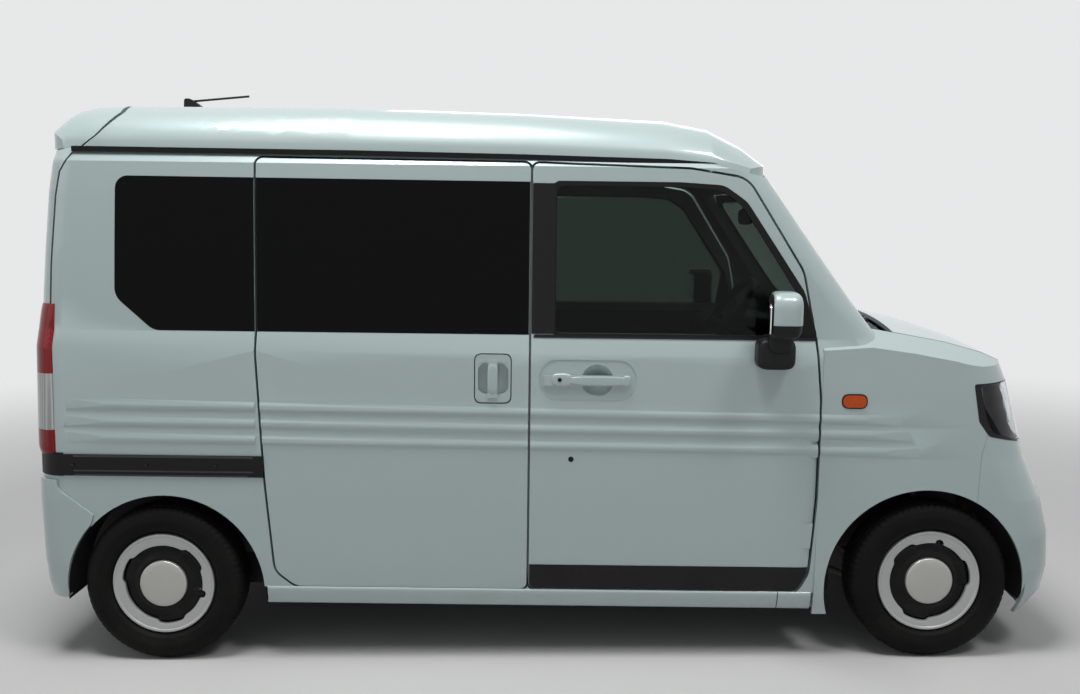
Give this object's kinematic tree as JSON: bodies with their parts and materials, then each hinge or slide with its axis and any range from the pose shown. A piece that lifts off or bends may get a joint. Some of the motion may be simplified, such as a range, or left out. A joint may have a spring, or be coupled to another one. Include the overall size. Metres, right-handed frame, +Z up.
{
  "type": "kei van",
  "caption": "Small boxy van with a short bonnet, sliding side doors, a top-hinged tailgate and steel wheels.",
  "frame": {"origin": "on the ground under the middle of the vehicle's length and width", "axes": "+X forwards, +Y to the vehicle's left, +Z up"},
  "size_m": [3.395, 1.86, 1.918],
  "materials": {
    "body_paint": "pale blue-grey gloss paint",
    "floor_paint": "satin underseal and body paint",
    "black_plastic": "black grained plastic",
    "clear_glass": "light green tinted glass",
    "privacy_glass": "near-black privacy glass",
    "lamp_lens": "clear lens over a dark housing",
    "red_lens": "red lens with a clear middle",
    "amber_lens": "amber lens",
    "cabin_trim": "grained grey plastic",
    "seat_cloth": "woven grey seat cloth",
    "dark_steel": "black chassis paint",
    "exhaust_steel": "dull heat-tinted steel",
    "cast_block": "plain cast block",
    "tyre_rubber": "black tyre rubber",
    "wheel_silver": "silver wheel paint"
  },
  "bodies": {
    "body_shell": {"side_frame_right": "body_paint", "side_frame_left": "body_paint", "roof_panel": "body_paint", "slide_doors": "body_paint", "front_fenders": "body_paint", "front_bumper": "body_paint", "rear_bumper": "body_paint", "rear_panel": "body_paint", "firewall": "body_paint", "inner_fenders": "body_paint", "arch_liners": "black_plastic", "floor_pan": "floor_paint", "windscreen": "clear_glass", "side_glass": "privacy_glass", "headlamps": "lamp_lens", "tail_lamps": "red_lens", "side_markers": "amber_lens", "grille": "black_plastic", "lower_grille": "black_plastic", "cowl": "black_plastic", "roof_mouldings": "black_plastic", "slide_rails": "black_plastic", "antenna": "black_plastic", "dashboard": "cabin_trim", "front_seats": "seat_cloth", "rear_seat": "seat_cloth", "steering_wheel": "cabin_trim", "engine": "cast_block", "propeller_shaft": "dark_steel", "fuel_tank": "dark_steel", "exhaust": "exhaust_steel", "radiator": "dark_steel", "front_suspension": "dark_steel", "rear_axle": "dark_steel"},
    "door_right": {"front_door_right": "body_paint", "front_window_right": "clear_glass", "door_trim_right": "black_plastic", "mirror_right": "black_plastic"},
    "door_left": {"front_door_left": "body_paint", "front_window_left": "clear_glass", "door_trim_left": "black_plastic", "mirror_left": "black_plastic"},
    "tailgate_body": {"tailgate": "body_paint", "tailgate_glass": "privacy_glass", "tailgate_trim": "body_paint"},
    "bonnet_body": {"bonnet": "body_paint"},
    "steer_right": {"knuckle_right": "dark_steel"},
    "steer_left": {"knuckle_left": "dark_steel"},
    "wheel_front_right_body": {"tyre_front_right": "tyre_rubber", "wheel_front_right": "wheel_silver"},
    "wheel_front_left_body": {"tyre_front_left": "tyre_rubber", "wheel_front_left": "wheel_silver"},
    "wheel_rear_right_body": {"tyre_rear_right": "tyre_rubber", "wheel_rear_right": "wheel_silver"},
    "wheel_rear_left_body": {"tyre_rear_left": "tyre_rubber", "wheel_rear_left": "wheel_silver"}
  },
  "joints": [
    {"name": "door_right_hinge", "type": "hinge", "parent": "body_shell", "child": "door_right", "pos_m": [0.8152, -0.72, 0.62727], "axis": [0.0157, 0, 0.9999], "range_deg": [0, 65]},
    {"name": "door_left_hinge", "type": "hinge", "parent": "body_shell", "child": "door_left", "pos_m": [0.8152, 0.72, 0.62727], "axis": [-0.0157, 0, -0.9999], "range_deg": [0, 65]},
    {"name": "tailgate_hinge", "type": "hinge", "parent": "body_shell", "child": "tailgate_body", "pos_m": [-1.4597, 0, 1.81315], "axis": [0, 1, 0], "range_deg": [0, 80]},
    {"name": "bonnet_hinge", "type": "hinge", "parent": "body_shell", "child": "bonnet_body", "pos_m": [1.21678, 0, 1.05902], "axis": [0, -1, 0], "range_deg": [0, 50]},
    {"name": "steering_right", "type": "hinge", "parent": "body_shell", "child": "steer_right", "pos_m": [1.2405, -0.61, 0.15], "axis": [0, 0.2084, 0.978], "range_deg": [-33, 33]},
    {"name": "steering_left", "type": "hinge", "parent": "body_shell", "child": "steer_left", "pos_m": [1.2405, 0.61, 0.15], "axis": [0, -0.2084, 0.978], "range_deg": [-33, 33]},
    {"name": "wheel_front_right_spin", "type": "hinge", "parent": "steer_right", "child": "wheel_front_right_body", "pos_m": [1.2405, -0.655, 0.26], "axis": [0, 1, 0], "continuous": true},
    {"name": "wheel_front_left_spin", "type": "hinge", "parent": "steer_left", "child": "wheel_front_left_body", "pos_m": [1.2405, 0.655, 0.26], "axis": [0, 1, 0], "continuous": true},
    {"name": "wheel_rear_right_spin", "type": "hinge", "parent": "body_shell", "child": "wheel_rear_right_body", "pos_m": [-1.2795, -0.655, 0.26], "axis": [0, 1, 0], "continuous": true},
    {"name": "wheel_rear_left_spin", "type": "hinge", "parent": "body_shell", "child": "wheel_rear_left_body", "pos_m": [-1.2795, 0.655, 0.26], "axis": [0, 1, 0], "continuous": true}
  ],
  "couplings": [
    {"joint": "steering_left", "follows": "steering_right", "ratio": 1}
  ]
}
